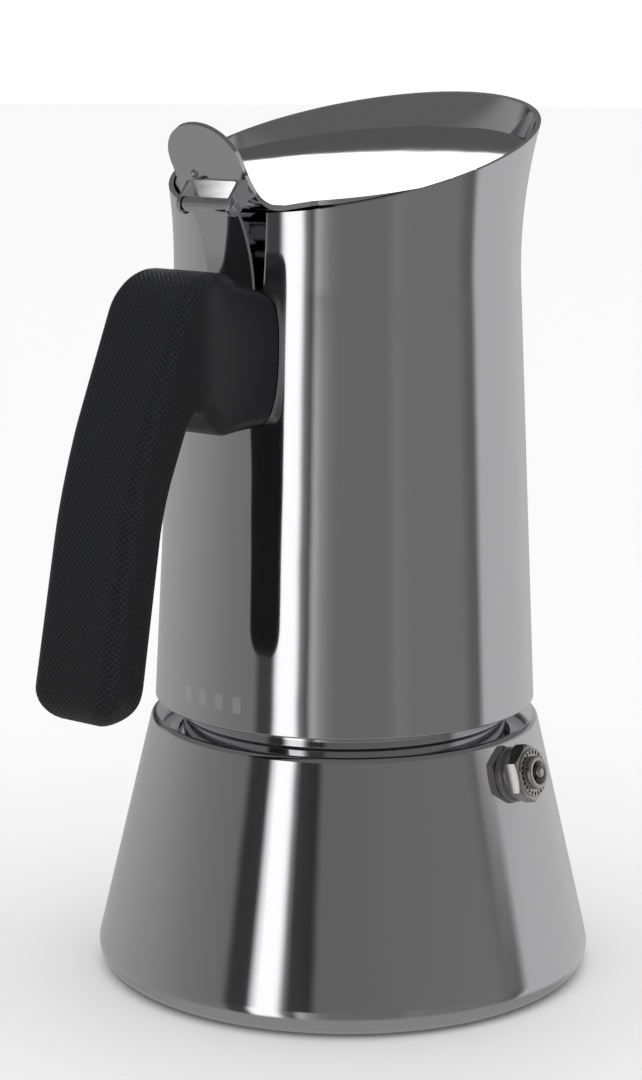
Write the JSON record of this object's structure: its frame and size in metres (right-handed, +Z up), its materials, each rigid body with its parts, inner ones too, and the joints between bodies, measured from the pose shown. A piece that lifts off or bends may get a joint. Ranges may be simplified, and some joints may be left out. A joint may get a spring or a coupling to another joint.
{
  "type": "stove-top moka pot",
  "caption": "Polished steel moka pot with a flared boiler, safety valve, funnel, screw-on tapered collector, sloping hinged lid with a thumb tab, and a black handle.",
  "frame": {"origin": "centre of the flat bottom, on the table", "axes": "+Z up along the pot's axis, +X towards the pouring side of the mouth, handle and lid hinge on the -X side, safety valve 2 degrees from -Y towards +X"},
  "size_m": [0.1371, 0.1038, 0.1816],
  "materials": {
    "polished_steel": "mirror-polished 18/10 stainless steel",
    "satin_steel": "satin stainless steel",
    "black_handle": "black nylon with a fine moulded diamond grain",
    "gasket_rubber": "pale silicone rubber",
    "nickel_brass": "nickel-plated brass",
    "spring_steel": "drawn spring wire"
  },
  "bodies": {
    "boiler": {"boiler_shell": "polished_steel", "base_disc": "satin_steel", "valve_boss": "satin_steel", "valve_washer": "satin_steel", "valve_body": "nickel_brass", "valve_gland": "nickel_brass", "valve_spring": "spring_steel", "funnel_cup": "satin_steel", "funnel_stem": "satin_steel", "funnel_sieve": "satin_steel"},
    "relief_pin": {"valve_pin": "nickel_brass"},
    "gasket": {"gasket_ring": "gasket_rubber"},
    "collector": {"filter_plate": "satin_steel", "collector_shell": "polished_steel", "thread_ring": "satin_steel", "collector_floor": "satin_steel", "riser_tube": "satin_steel", "riser_cap": "satin_steel", "hinge_strap": "polished_steel", "handle_stud": "satin_steel", "handle_screw": "satin_steel", "handle_grip": "black_handle"},
    "lid": {"lid_plate": "polished_steel", "hinge_pin": "polished_steel"}
  },
  "joints": [
    {"name": "collector_rise", "type": "slide", "parent": "boiler", "child": "gasket", "axis": [0, 0, 1], "range_m": [0, 0.00601]},
    {"name": "collector_turn", "type": "hinge", "parent": "gasket", "child": "collector", "pos_m": [0, 0, 0.06], "axis": [0, 0, 1], "range_deg": [0, 720]},
    {"name": "lid_hinge", "type": "hinge", "parent": "collector", "child": "lid", "pos_m": [-0.04408, 0, 0.16166], "axis": [0, -1, 0], "range_deg": [0, 110]},
    {"name": "relief_pin_slide", "type": "slide", "parent": "boiler", "child": "relief_pin", "axis": [0.034, -0.973, 0.2285], "range_m": [0, 0.0015], "stiffness_N_per_m": 900, "springref_m": -0.004, "deforming": ["valve_spring"]}
  ],
  "couplings": [
    {"joint": "collector_rise", "follows": "collector_turn", "m_per_rad": 0.00047746}
  ]
}
